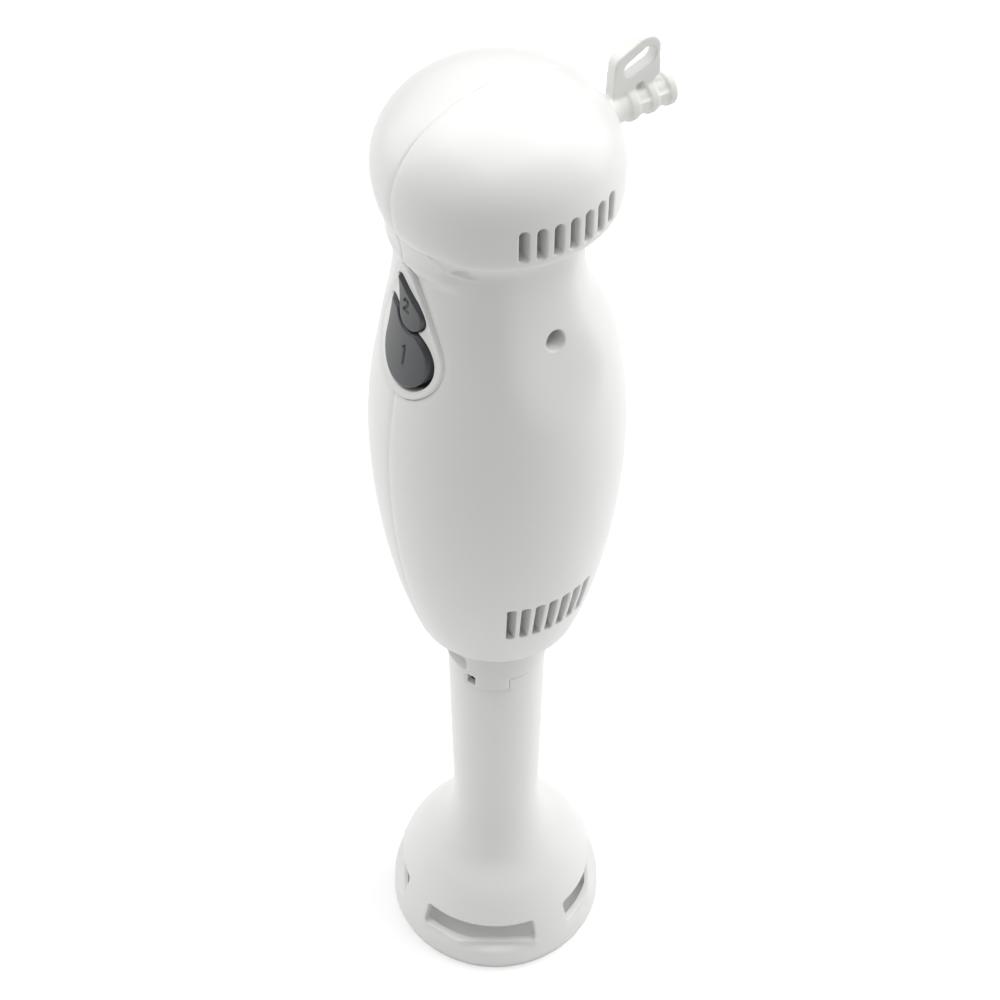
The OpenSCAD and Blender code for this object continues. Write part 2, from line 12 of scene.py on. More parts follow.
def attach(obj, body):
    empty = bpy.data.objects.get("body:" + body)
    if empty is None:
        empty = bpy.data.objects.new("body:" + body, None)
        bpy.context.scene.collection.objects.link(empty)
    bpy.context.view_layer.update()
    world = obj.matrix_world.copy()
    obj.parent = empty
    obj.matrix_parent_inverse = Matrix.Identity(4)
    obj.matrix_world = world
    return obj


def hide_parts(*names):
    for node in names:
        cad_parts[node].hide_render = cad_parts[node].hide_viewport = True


print("loading the frame")
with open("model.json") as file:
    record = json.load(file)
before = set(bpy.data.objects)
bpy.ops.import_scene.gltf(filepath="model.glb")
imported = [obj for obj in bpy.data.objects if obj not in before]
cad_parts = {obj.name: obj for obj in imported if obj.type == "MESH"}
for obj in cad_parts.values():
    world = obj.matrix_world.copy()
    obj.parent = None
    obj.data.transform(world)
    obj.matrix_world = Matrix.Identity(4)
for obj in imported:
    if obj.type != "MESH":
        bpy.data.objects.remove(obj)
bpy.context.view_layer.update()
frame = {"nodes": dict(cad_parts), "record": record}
scene = bpy.context.scene
mm = 0.001

# ---- curves and outlines, in millimetres ----


def bezier(a, b, c, d, steps=60):
    t = np.linspace(0, 1, steps + 1)[:, None]
    a, b, c, d = (np.array(p, float) for p in (a, b, c, d))
    return (1 - t) ** 3 * a + 3 * (1 - t) ** 2 * t * b + 3 * (1 - t) * t ** 2 * c + t ** 3 * d


def softMin(a, b, reach):
    # smaller of two distances, with the crease between them rounded off
    return np.minimum(a, b) - np.maximum(reach - np.abs(a - b), 0) ** 2 / (4 * reach)


def easeStep(low, high, x):
    t = np.clip((np.asarray(x, float) - low) / (high - low), 0, 1)
    return t * t * (3 - 2 * t)


def softTable(knots, rows, x):
    # smooth curve through one value per knot; rows may differ from point to point
    n = len(knots)
    i = np.clip(np.searchsorted(knots, x, side="right") - 1, 0, n - 2)
    take = lambda k: np.take_along_axis(rows, np.clip(k, 0, n - 1)[:, None], 1)[:, 0]
    k0, k1, k2, k3 = (np.clip(i + d, 0, n - 1) for d in (-1, 0, 1, 2))
    y0, y1, y2, y3 = take(k0), take(k1), take(k2), take(k3)
    x0, x1, x2, x3 = knots[k0], knots[k1], knots[k2], knots[k3]
    h = x2 - x1
    m1 = (y2 - y0) / np.maximum(x2 - x0, 1e-9)
    m2 = (y3 - y1) / np.maximum(x3 - x1, 1e-9)
    t = (x - x1) / h
    return (
        (2 * t ** 3 - 3 * t ** 2 + 1) * y1
        + (t ** 3 - 2 * t ** 2 + t) * h * m1
        + (3 * t ** 2 - 2 * t ** 3) * y2
        + (t ** 3 - t ** 2) * h * m2
    )


def arcPoints(centre, radius, a0, a1, step=0.35):
    n = max(3, int(abs(a1 - a0) * radius / step) + 1)
    a = np.linspace(a0, a1, n)
    return np.stack([centre[0] + radius * np.cos(a), centre[1] + radius * np.sin(a)], 1)


def roundedBox(x0, x1, y0, y1, lowRadius, highRadius, step=0.4):
    # counter-clockwise outline with its own radius at the low and the high corners
    corners = [
        arcPoints((x1 - lowRadius, y0 + lowRadius), lowRadius, -math.pi / 2, 0, step),
        arcPoints((x1 - highRadius, y1 - highRadius), highRadius, 0, math.pi / 2, step),
        arcPoints((x0 + highRadius, y1 - highRadius), highRadius, math.pi / 2, math.pi, step),
        arcPoints((x0 + lowRadius, y0 + lowRadius), lowRadius, math.pi, 1.5 * math.pi, step),
    ]
    return evenLoop(np.concatenate(corners), step)


def eggOutline(egg, grow=0.0, step=0.4):
    cx, cz, r1, tx, tz, r2 = egg
    r1, r2 = r1 + grow, r2 + grow
    a = math.atan2(tz - cz, tx - cx)
    b = math.acos((r1 - r2) / math.hypot(tx - cx, tz - cz))
    big = arcPoints((cx, cz), r1, a + b, a + 2 * math.pi - b, step)
    tip = arcPoints((tx, tz), r2, a - b, a + b, step / 2)
    return evenLoop(np.concatenate([big, tip]), step)


def evenLoop(points, step):
    # closed outline with long edges split, and repeated points dropped
    out = []
    for p, q in zip(points, np.roll(points, -1, axis=0)):
        d = np.hypot(*(q - p))
        if d < 0.02:
            continue
        n = max(1, int(round(d / step)))
        out += [p + (q - p) * k / n for k in range(n)]
    return np.array(out)


def evenLine(points, step):
    out = [points[0]]
    for p, q in zip(points[:-1], points[1:]):
        n = max(1, int(round(np.hypot(*(q - p)) / step)))
        out += [p + (q - p) * k / n for k in range(1, n + 1)]
    return np.array(out)


def isInside(points, loop):
    x, y = points[:, 0][:, None], points[:, 1][:, None]
    x0, y0 = loop[:, 0], loop[:, 1]
    x1, y1 = np.roll(x0, -1), np.roll(y0, -1)
    out = np.zeros(len(points), bool)
    for i in range(0, len(points), 4000):
        s = slice(i, i + 4000)
        crosses = (y0 > y[s]) != (y1 > y[s])
        edge = (x1 - x0) * (y[s] - y0) / np.where(y1 == y0, 1e-12, y1 - y0) + x0
        out[s] = ((x[s] < edge) & crosses).sum(1) % 2 == 1
    return out


def lineDistance(points, line, closed=True):
    a = line if closed else line[:-1]
    b = np.roll(line, -1, axis=0) if closed else line[1:]
    out = np.full(len(points), 1e9)
    ab = b - a
    size = np.maximum((ab ** 2).sum(1), 1e-12)
    for i in range(0, len(points), 3000):
        p = points[i:i + 3000, None, :]
        t = np.clip(((p - a) * ab).sum(2) / size, 0, 1)
        d = p - (a + t[:, :, None] * ab)
        out[i:i + 3000] = np.sqrt((d ** 2).sum(2)).min(1)
    return out


def unrolled(width, bottom, top, rows):
    # outline of a skin laid flat, with the same rows of points down both of its sides
    right, left = np.full(len(rows), width), np.zeros(len(rows))
    return np.concatenate([bottom, np.stack([right, rows], 1), top, np.stack([left, rows[::-1]], 1)])


def growLoop(loop, distance):
    # outline moved outwards, for a counter-clockwise loop
    ahead, behind = np.roll(loop, -1, axis=0), np.roll(loop, 1, axis=0)
    t = ahead - behind
    t /= np.maximum(np.hypot(t[:, 0], t[:, 1])[:, None], 1e-9)
    return loop + distance * np.stack([t[:, 1], -t[:, 0]], 1)


def edgeRound(distance, radius):
    # how far a rounded edge has dropped at this distance from the opening
    t = np.clip(1 - distance / radius, 0, 1)
    return radius * (1 - np.sqrt(np.maximum(1 - t * t, 0)))


# ---- closed shells from a flat layout ----


def meshFrom(name, points, faces, merge=0.001):
    mesh = bpy.data.meshes.new(name)
    mesh.from_pydata((np.asarray(points) * mm).tolist(), [], [list(map(int, f)) for f in faces])
    bm = bmesh.new()
    bm.from_mesh(mesh)
    bmesh.ops.remove_doubles(bm, verts=bm.verts, dist=merge * mm)
    bmesh.ops.dissolve_degenerate(bm, dist=1e-8, edges=bm.edges)
    loose = [v for v in bm.verts if not v.link_faces]
    bmesh.ops.delete(bm, geom=loose, context="VERTS")
    bmesh.ops.recalc_face_normals(bm, faces=bm.faces)
    for f in bm.faces:
        f.smooth = True
    for e in bm.edges:
        e.smooth = e.calc_face_angle(0) < math.radians(50)
    bm.to_mesh(mesh)
    bm.free()
    piece = bpy.data.objects.new(name, mesh)
    scene.collection.objects.link(piece)
    return piece


def layOut(outline, holes, fill, rings, step):
    # triangles of a flat layout: outline, openings, fill points and rows of points round the openings
    loops = [outline] + holes
    spread, rows = fill[isInside(fill, outline)], []
    for hole in holes:
        spread = spread[~isInside(spread, hole)]
    for loop in loops:
        spread = spread[lineDistance(spread, loop) > step * 0.45]
    ringRows = [growLoop(hole, d) for hole, distances in rings for d in distances]
    if ringRows:
        rows = np.concatenate(ringRows)
        rows = rows[isInside(rows, outline)]
        rows = rows[lineDistance(rows, outline) > 0.1]
        for hole in holes:
            rows = rows[~isInside(rows, hole)]
            rows = rows[lineDistance(rows, hole) > 0.05]
        wide = max(max(d) for _, d in rings) + step * 0.4
        for hole, _ in rings:
            spread = spread[lineDistance(spread, hole) > wide]
    points = np.concatenate(loops + [spread] + ([rows] if ringRows else []))
    edges, base = [], 0
    for loop in loops:
        n = len(loop)
        edges += [(base + i, base + (i + 1) % n) for i in range(n)]
        base += n
    flat = delaunay_2d_cdt([Vector(p) for p in points.tolist()], edges, [], 0, 1e-6)
    verts = np.array([tuple(v) for v in flat[0]])
    tris = np.array([f for f in flat[2] if len(f) == 3])
    middle = verts[tris].mean(1)
    keep = isInside(middle, outline)
    for hole in holes:
        keep &= ~isInside(middle, hole)
    a, b, c = (verts[tris[:, k]] for k in range(3))
    area = (b - a)[:, 0] * (c - a)[:, 1] - (b - a)[:, 1] * (c - a)[:, 0]
    keep &= np.abs(area) > 1e-7
    tris = np.where((area > 0)[:, None], tris, tris[:, ::-1])[keep]
    return verts, tris


def shellFrom(name, outer, inner, tris, flip=False):
    # closed wall between two skins that share one layout; places that coincide are one
    key = np.round(np.concatenate([outer, inner], 1) + 0.00037, 3)
    _, first, same = np.unique(key, axis=0, return_index=True, return_inverse=True)
    same = same.ravel()
    outer, inner, tris = outer[first], inner[first], same[tris]
    tris = tris[(tris[:, 0] != tris[:, 1]) & (tris[:, 1] != tris[:, 2]) & (tris[:, 2] != tris[:, 0])]
    n = len(outer)
    if flip:
        tris = tris[:, ::-1]
    directed = np.concatenate([tris[:, [0, 1]], tris[:, [1, 2]], tris[:, [2, 0]]])
    pairs = set(map(tuple, directed.tolist()))
    rim = [(a, b) for a, b in pairs if (b, a) not in pairs]
    faces = tris.tolist() + (tris[:, ::-1] + n).tolist()
    faces += [(b, a, a + n, b + n) for a, b in rim]
    return meshFrom(name, np.concatenate([outer, inner]), faces)


# ---- surface of the motor body ----

body = {
    "lipHeight": 154.0,
    "lipRadius": 24.0,
    "bellyHeight": 232.0,
    "bellyRadius": 36.3,
    "spineRadius": 28.2,
    "spineHeight": 302.0,
    "gripShift": 3.2,
    "hollowCentre": 123.0,
    "hollowRadius": 99.0,
    "hollowHeight": 305.0,
    "headHeight": 326.0,
    "headRadius": 32.2,
    "top": 350.0,
    "mouthHole": 16.05,
    "wall": 2.4,
    "angleScale": 32.0,
    "spacing": 1.25,
    "screwHeight": 284.0,
    "screwWell": 2.9,
    "glandHole": 4.8,
}

b = body
lowerBarrel = bezier(
    (b["lipRadius"], b["lipHeight"]), (30, 169), (b["bellyRadius"], 200), (b["bellyRadius"], b["bellyHeight"])
)
upperBarrel = bezier(
    (b["bellyRadius"], b["bellyHeight"]), (b["bellyRadius"], 262), (b["spineRadius"], 276),
    (b["spineRadius"], b["spineHeight"]),
)
frontLine = np.concatenate([lowerBarrel, upperBarrel[1:], [[b["spineRadius"], 330]]])
gripKnots = np.array([200, 220, 235, 248, 262, 270, 277, 285, 293, 298, 303, 330], float)
gripRadii = np.array([70, 58, 46, 41, 38.3, 35.9, 31.7, 27.8, 25.8, 25.25, 25.2, 25.2])
headLine = bezier((b["headRadius"], b["headHeight"]), (b["headRadius"], 338), (20, b["top"]), (0, b["top"]), 24)
headLength = np.concatenate([[0], np.cumsum(np.hypot(*np.diff(headLine, axis=0).T))])

# the flow of the body proper starts just above the rounded lip
bodyStart = 157.0
neckStart = 303.0
lipKnots = np.array([-8.2, -5.0, -2.1, -1.5, -0.95, -0.45, 0.0])
lipRadii = np.array([b["mouthHole"], 20.0, 23.0, 23.7, 24.4, 24.95, 25.2])
lipHeights = bodyStart - np.array([1.6, 1.6, 1.6, 1.5, 1.15, 0.65, 0])
neckRise = [-6.0, -3.0, 0.0, 3.5, 7.0, 9.8, 11.6, 12.45, 13.1, 14.4, 17.2, 20.6, 23.0]
neckHeights = neckStart + np.array(neckRise)
neckSteps = [0, 3.0, 6.0, 9.5, 13.1, 16.9, 20.6, 22.9, 24.1, 25.6, 28.5, 31.9, 34.3]
neckKnots = neckStart - bodyStart - 6.0 + np.array(neckSteps)
headKnots = neckKnots[-1] + headLength
bodyEnd = headKnots[-1]


def gripSection(turn, height):
    # distance from the blade axis to the body's surface below the head
    front = np.interp(height, frontLine[:, 1], frontLine[:, 0])
    grip = softTable(gripKnots, np.tile(gripRadii, (len(height), 1)), height)
    shift = body["gripShift"]
    rear = -shift * np.sin(turn) + np.sqrt(np.maximum(grip ** 2 - (shift * np.cos(turn)) ** 2, 1))
    rise = np.clip(np.abs(height - body["hollowHeight"]), 0, 96)
    floor = body["hollowCentre"] - np.sqrt(body["hollowRadius"] ** 2 - rise ** 2)
    hollow = floor / np.maximum(np.abs(np.cos(turn)), 0.05)
    return softMin(softMin(front, rear, 3.0), hollow, 2.6)


def bodySurface(turn, flow):
    # turn is the angle round the blade axis, flow runs from the mouth hole over the lip, grip and head to the top
    turn, flow = np.asarray(turn, float), np.asarray(flow, float)
    radius, height = np.zeros_like(flow), np.zeros_like(flow)
    low, high = flow < 0, flow > neckKnots[1]
    mid = ~low & ~high
    n = int(low.sum())
    if n:
        radius[low] = softTable(lipKnots, np.tile(lipRadii, (n, 1)), flow[low])
        height[low] = softTable(lipKnots, np.tile(lipHeights, (n, 1)), flow[low])
    if mid.any():
        height[mid] = bodyStart + flow[mid]
        radius[mid] = gripSection(turn[mid], height[mid])
    if high.any():
        a, f = turn[high], flow[high]
        ones = np.ones_like(a)
        start = gripSection(a, neckHeights[2] * ones)
        facing = 1 - easeStep(
            math.radians(24), math.radians(40), np.abs((a + math.pi / 2 + math.pi) % (2 * math.pi) - math.pi)
        )
        share = [0.015, 0.1, 0.36, 0.75, 0.97]
        side = [start + (30.35 - start) * s for s in share] + [
            31.1 * ones, 31.75 * ones, 32.12 * ones, 32.2 * ones
        ]
        frontRadii = [28.95, 29.3, 29.8, 30.2, 30.35, 30.65, 31.2, 31.8, 32.2]
        rows = [gripSection(a, neckHeights[0] * ones), gripSection(a, neckHeights[1] * ones), start]
        rows += [s + facing * (r - s) for s, r in zip(side[:9], frontRadii)]
        rows.append(32.2 * ones)
        knots = np.concatenate([neckKnots, headKnots[1:]])
        heights = np.concatenate([neckHeights, headLine[1:, 1]])
        rows += [r * ones for r in headLine[1:, 0]]
        radius[high] = softTable(knots, np.stack(rows, 1), f)
        height[high] = softTable(knots, np.tile(heights, (len(f), 1)), f)
    radius = np.maximum(radius, 0)
    return np.stack([radius * np.cos(turn), radius * np.sin(turn), height], 1)


def surfaceNormal(surface, turn, flow, end):
    # outward direction of a surface, by small steps along both of its ways
    da, df = 0.004, 0.12
    lowFlow, highFlow = flow - df, np.minimum(flow + df, end)
    along = surface(turn, highFlow) - surface(turn, lowFlow)
    back = np.minimum(flow, end - 0.3)
    across = surface(turn + da, back) - surface(turn - da, back)
    n = np.cross(across, along)
    size = np.linalg.norm(n, axis=1)
    n[(size < 1e-9) | (flow > end - 0.02)] = (0, 0, 1)
    return n / np.linalg.norm(n, axis=1)[:, None]


def flowAtHeight(height):
    flow = np.linspace(0, bodyEnd, 1200)
    z = bodySurface(np.full(1200, 0.3), flow)[:, 2]
    return float(np.interp(height, z, flow))


vents = {
    "count": 7, "width": 2.6, "headStep": 8.1, "barrelStep": 7.6, "head": (318.6, 328.2),
    "barrel": (172.6, 188.6), "barrelTurn": -4.4, "headTurn": 0.8, "depth": 4.6,
}
bezelEgg = (0, 277.5, 14.2, 0, 301.5, 3.4)


def ventLoops():
    out = []
    for i in range(vents["count"]):
        turn = i - (vents["count"] - 1) / 2
        for rowIndex, row in enumerate(("head", "barrel")):
            f0, f1 = (flowAtHeight(z) for z in vents[row])
            middle = math.radians(turn * vents[row + "Step"] + vents[row + "Turn"])
            scale = body["angleScale"] / float(np.linalg.norm(bodySurface([middle], [(f0 + f1) / 2])[0, :2]))
            half = vents["width"] / 2 * scale
            u = middle * body["angleScale"]
            low = 1.15 if rowIndex == 0 else 0.8
            out.append(roundedBox(u - half, u + half, f0, f1, low * 0.95, 1.2 if rowIndex == 0 else 0.8))
    return out


def flatOnFront(x, z):
    # place in the layout of a point on the front, given across and up
    turn = np.full(len(x), -math.pi / 2)
    flow = np.interp(
        z, bodySurface(np.full(900, -math.pi / 2), np.linspace(0, bodyEnd, 900))[:, 2],
        np.linspace(0, bodyEnd, 900),
    )
    for _ in range(12):
        radius = np.linalg.norm(bodySurface(turn, flow)[:, :2], axis=1)
        turn = -math.pi / 2 + np.arcsin(np.clip(x / radius, -0.95, 0.95))
    return np.stack([turn * body["angleScale"], flow], 1)


def halfShell(name, side):
    scale, spacing = body["angleScale"], body["spacing"]
    edge = math.pi / 2 * scale
    lipRows = [-8.2, -6.5, -5.0, -3.5, -2.4, -1.9, -1.5, -1.15, -0.85, -0.55, -0.25, 0, 0.5]
    flows = np.concatenate([lipRows, np.arange(1.2, neckKnots[3], spacing)])
    neck = np.arange(flows[-1] + 0.7, neckKnots[-1], 0.7)
    head = np.arange(neck[-1] + 1.1, bodyEnd - 0.4, 1.15)
    flows = np.concatenate([flows, neck, head])
    # the openings that cross the parting line become notches in the outline
    bezel = eggOutline(bezelEgg, 0.15)
    right = bezel[bezel[:, 0] > 0.05]
    right = right[np.argsort(np.arctan2(right[:, 0], -(right[:, 1] - 285)))]
    bottom, top = bezel[:, 1].min(), bezel[:, 1].max()
    right = np.concatenate([[[0, bottom]], right, [[0, top]]])
    bezelLine = flatOnFront(right[:, 0], right[:, 1])
    bezelLine[[0, -1], 0] = -edge
    glandFlow = flowAtHeight(326.0)
    ring = arcPoints((0, 0), body["glandHole"], -math.pi / 2, math.pi / 2, 0.4)
    glandLine = np.stack([edge - ring[:, 0] * scale / body["headRadius"], glandFlow + ring[:, 1]], 1)
    glandLine[[0, -1], 0] = edge
    leftFlows = flows[(flows < bezelLine[0, 1] - 0.3) | (flows > bezelLine[-1, 1] + 0.3)]
    rightFlows = flows[(flows < glandLine[0, 1] - 0.3) | (flows > glandLine[-1, 1] + 0.3)]
    column = lambda u, rows: np.stack([np.full(len(rows), u), rows], 1)
    outline = np.concatenate([
        column(-edge, leftFlows[:1]),
        evenLine(np.array([[-edge, flows[0]], [edge, flows[0]]]), spacing)[1:-1],
        column(edge, rightFlows[rightFlows < glandFlow]),
        glandLine,
        column(edge, rightFlows[rightFlows > glandFlow]),
        [[edge, bodyEnd]], [[0, bodyEnd]], [[-edge, bodyEnd]],
        column(-edge, leftFlows[leftFlows > bezelLine[-1, 1]][::-1]),
        bezelLine[::-1],
        column(-edge, leftFlows[leftFlows < bezelLine[0, 1]][:0:-1]),
    ])
    holes = ventLoops()
    well = None
    if side > 0:
        f = flowAtHeight(body["screwHeight"])
        r = body["screwWell"]
        at = float(np.linalg.norm(bodySurface([0.0], [f])[0, :2]))
        ring = arcPoints((0, 0), r, 0, 2 * math.pi, 0.35)[:-1]
        well = np.stack([ring[:, 0] * scale / at, f + ring[:, 1]], 1)
        holes.append(well)
    rows = []
    for f in flows:
        radius = float(np.linalg.norm(bodySurface([0.8], [f])[0, :2]))
        n = max(6, int(round(math.pi * radius / spacing)))
        u = np.linspace(-edge, edge, n + 1)[1:-1]
        if radius > 3:
            seam = np.arcsin(np.array([0.12, 0.26, 0.5]) / radius) * scale
            u = u[np.abs(u) < edge - seam[-1] * 1.6]
            u = np.concatenate([-edge + seam, u, edge - seam])
        rows.append(np.stack([u, np.full(len(u), f)], 1))
    fill = np.concatenate(rows)
    rings = [(h, [0.1, 0.24, 0.45, 0.7]) for h in holes]
    flat, tris = layOut(outline, holes, fill, rings, spacing)
    turn, flow = flat[:, 0] / scale, flat[:, 1]
    base = bodySurface(turn, flow)
    normal = surfaceNormal(bodySurface, turn, flow, bodyEnd)
    ventGap = np.min([lineDistance(flat, h) for h in holes[:2 * vents["count"]]], axis=0)
    drop = edgeRound(ventGap, 0.5)
    if well is not None:
        drop = np.maximum(drop, edgeRound(lineDistance(flat, well), 0.45))
    drop = np.maximum(drop, edgeRound(lineDistance(flat, bezelLine, False), 0.3))
    drop = np.maximum(drop, edgeRound(lineDistance(flat, glandLine, False), 0.4))
    across = np.abs(base[:, 0])
    drop = drop + 0.2 * np.clip(1 - across / 0.3, 0, 1) ** 1.5 * (flow > -1.2)
    if side > 0:
        drop = drop - edgeMark(base)
    outer = base - normal * drop[:, None]
    thick = np.full(len(flat), body["wall"])
    inner = base - normal * thick[:, None]
    deep = 1 - easeStep(0.4, 2.2, ventGap)      # the slots are cut along the mould's opening direction
    sideways = np.stack([base[:, 0] - vents["depth"], base[:, 1], base[:, 2]], 1)
    inner = inner + (sideways - inner) * deep[:, None]
    if well is not None:
        near = 1 - easeStep(0.3, 1.8, lineDistance(flat, well))
        wellFloor = np.stack([np.full(len(base), 9.0), base[:, 1], base[:, 2]], 1)
        inner = inner + (wellFloor - inner) * near[:, None]
    for skin in (outer, inner):
        skin[:, 0] = np.maximum(skin[:, 0], 0.012)
    if side < 0:
        outer[:, 0] *= -1
        inner[:, 0] *= -1
    return shellFrom(name, outer, inner, tris, side < 0)


def edgeMark(points):
    # small raised line under the head's edge, ending in a little sunk triangle
    line = np.array([[11.4, 315.0], [13.2, 313.4], [14.6, 311.4], [16.6, 309.6], [18.2, 309.2]])
    flatXz = points[:, [0, 2]]
    front = (points[:, 1] < -18) & (points[:, 2] > 300)
    gap = lineDistance(flatXz, line, False)
    raised = 0.35 * np.clip(1 - (gap / 0.55) ** 2, 0, 1)
    corner = np.array([[14.9, 312.2], [17.4, 310.6], [17.9, 312.7]])
    sunk = isInside(flatXz, corner) * 0.45 * easeStep(0, 0.6, lineDistance(flatXz, corner))
    return np.where(front, raised - sunk, 0)


print("moulding the two body shells")
halves = {"housing_right": halfShell("rightShell", 1), "housing_left": halfShell("leftShell", -1)}
for node, piece in halves.items():
    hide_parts(node)
    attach(piece, "housing")


# ---- button frame and buttons, laid out across and up on the front ----

lowEgg = (1.4, 276.4, 9.8, -6.0, 289.8, 0.9)
highEgg = (2.6, 290.3, 4.6, -2.4, 299.6, 0.6)
buttons = {
    "gap": 0.4, "between": 1.0, "lowProud": 0.7, "highProud": 0.85, "edge": 0.6, "depth": 4.0,
    "engraved": 0.5, "stroke": 0.48,
}


def frontSurface(x, z):
    # how far forward the body's front is at a point across and up
    radius = np.interp(z, frontLine[:, 1], frontLine[:, 0])
    radius = radius + 0.35 * easeStep(298, 306, z)
    return -np.sqrt(np.maximum(radius ** 2 - x ** 2, 1))


def facePiece(name, outline, holes, fill, rings, step, depthAt, back):
    flat, tris = layOut(outline, holes, fill, rings, step)
    x, z = flat[:, 0], flat[:, 1]
    y = frontSurface(x, z)
    outer = np.stack([x, y + depthAt(flat), z], 1)
    inner = np.stack([x, y + back, z], 1)
    return shellFrom(name, outer, inner, tris)


def gridOver(loop, step):
    x0, z0 = loop.min(0)
    x1, z1 = loop.max(0)
    xs, zs = np.meshgrid(np.arange(x0, x1, step), np.arange(z0, z1, step * 0.87))
    xs = xs + (np.arange(xs.shape[0]) % 2)[:, None] * step / 2
    return np.stack([xs.ravel(), zs.ravel()], 1)


def chainLoop(pieces):
    # one closed outline from open runs of points that follow one another
    return evenLoop(np.concatenate(pieces), 0.4)


def runOutside(loop, other):
    # the run of an outline that lies outside another one, in order
    keep = ~isInside(loop, other)
    start = np.where(keep & ~np.roll(keep, 1))[0][0]
    rolled = np.roll(loop, -start, axis=0)
    keep = np.roll(keep, -start)
    return rolled[:int(np.argmin(keep)) if not keep.all() else len(keep)]


bezelOuter = eggOutline(bezelEgg, 0.03)
lowHole, highHole = eggOutline(lowEgg, buttons["gap"], 0.3), eggOutline(highEgg, buttons["gap"], 0.3)
bothHoles = chainLoop([runOutside(lowHole, highHole), runOutside(highHole, lowHole)])


def bezelDepth(flat):
    outerGap = lineDistance(flat, bezelOuter)
    innerGap = lineDistance(flat, bothHoles)
    lip = 0.42 * easeStep(0, 0.45, outerGap) * (1 - 0.8 * easeStep(0.7, 2.0, outerGap))
    return 0.16 - lip + edgeRound(outerGap, 0.25) + edgeRound(innerGap, 0.45)


bezelRings = [(growLoop(bezelOuter, -d), [0.0]) for d in (0.1, 0.25, 0.45, 0.75, 1.15)]
bezelFill = np.concatenate([gridOver(bezelOuter, 0.8)] + [r for r, _ in bezelRings])
bezel = facePiece(
    "buttonFrame", bezelOuter, [bothHoles], bezelFill, [(bothHoles, [0.08, 0.2, 0.4, 0.65])], 0.5,
    bezelDepth, 3.0,
)
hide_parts("button_bezel")
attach(bezel, "housing")

numeralOne = np.array([[1.5, 279.4], [2.2, 280.1], [2.2, 274.8]])
numeralTwo = np.array(
    [[0.4, 294.0], [0.9, 294.6], [1.7, 294.5], [2.1, 293.8], [1.8, 292.9], [0.3, 291.1], [2.2, 291.1]]
)


def buttonPiece(name, outline, numeral, proud):
    def depthAt(flat):
        gap = lineDistance(flat, outline)
        groove = buttons["engraved"] * np.clip(
            1 - (lineDistance(flat, numeral, False) / buttons["stroke"]) ** 2, 0, 1
        )
        return -proud + edgeRound(gap, buttons["edge"]) + groove

    near = numeral.mean(0)
    fine = gridOver(np.array([near - 3.4, near + 3.4]), 0.16)
    coarse = gridOver(outline, 0.7)
    coarse = coarse[np.abs(coarse - near).max(1) > 3.45]
    rows = [growLoop(outline, -d) for d in (0.05, 0.14, 0.28, 0.45, 0.7)]
    return facePiece(
        name, outline, [], np.concatenate([fine, coarse] + rows), [], 0.12, depthAt, buttons["depth"]
    )


highCut = eggOutline(highEgg, buttons["between"], 0.3)
lowFace = (1.05, 276.65, 9.3, -5.9, 289.6, 0.8)
lowLoop = eggOutline(lowFace, 0, 0.3)
lowRun = runOutside(lowLoop, highCut)
insideCut = isInside(highCut, lowLoop)
startCut = np.where(insideCut & ~np.roll(insideCut, 1))[0][0]
cutRun = np.roll(highCut, -startCut, axis=0)
cutRun = cutRun[:int(np.argmin(np.roll(insideCut, -startCut)))][::-1]
lowButtonLoop = evenLoop(np.concatenate([lowRun, cutRun]), 0.3)
print("moulding the buttons")
lowButton = buttonPiece("buttonOne", lowButtonLoop, numeralOne, buttons["lowProud"])
highButton = buttonPiece("buttonTwo", eggOutline(highEgg, 0, 0.25), numeralTwo, buttons["highProud"])


def postFor(name, x, z, y0, y1, radius):
    # round stem that joins a button to its spring
    turn = np.linspace(0, 2 * math.pi, 33)[:-1]
    ring = lambda y, r: np.stack([x + r * np.cos(turn), np.full(32, y), z + r * np.sin(turn)], 1)
    rows = [ring(y0, radius), ring(y1 - 0.3, radius), ring(y1, radius - 0.3)]
    points = np.concatenate(rows + [[[x, y0, z], [x, y1, z]]])
    around = [(i, (i + 1) % 32) for i in range(32)]
    faces = [(k * 32 + i, k * 32 + j, k * 32 + 32 + j, k * 32 + 32 + i) for k in range(2) for i, j in around]
    faces += [(j, i, 96) for i, j in around] + [(64 + i, 64 + j, 97) for i, j in around]
    return meshFrom(name, points, faces)


def joined(name, pieces):
    meshes = [p.data for p in pieces]
    bm = bmesh.new()
    for m in meshes:
        bm.from_mesh(m)
    mesh = bpy.data.meshes.new(name)
    bm.to_mesh(mesh)
    bm.free()
    for p in pieces:
        bpy.data.objects.remove(p)
    piece = bpy.data.objects.new(name, mesh)
    scene.collection.objects.link(piece)
    return piece


lowButton = joined("buttonOne", [lowButton, postFor("stem", 1.4, 275.5, -29, -21.5, 2.2)])
highButton = joined("buttonTwo", [highButton, postFor("stem", 2.6, 290.6, -27, -21.5, 2.2)])
for piece, node in ((lowButton, "button_low"), (highButton, "button_high")):
    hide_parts(node)
    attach(piece, node)

# ---- foot: tube and blade guard ----

foot = {
    "rimRadius": 36.3, "tubeLow": 14.2, "tubeTop": 15.3, "top": 135.0, "scale": 30.0, "spacing": 1.25,
    "facet": 35.6, "bends": (-36.5, -12.0, 34.0), "slotAt": (-45, 45, 135, 225),
    "recess": (8.9, 21.9), "open": (11.7, 20.6),
}
bellLine = np.concatenate([
    bezier((foot["rimRadius"], 0), (foot["rimRadius"], 14), (32, 24.5), (27, 31), 60),
    bezier((27, 31), (21.6, 38), (foot["tubeLow"] + 0.2, 40), (foot["tubeLow"], 60), 60)[1:],
    [[foot["tubeTop"], foot["top"]]],
])
footFlow = np.concatenate([[0], np.cumsum(np.hypot(*np.diff(bellLine, axis=0).T))])
footEnd = footFlow[-1]


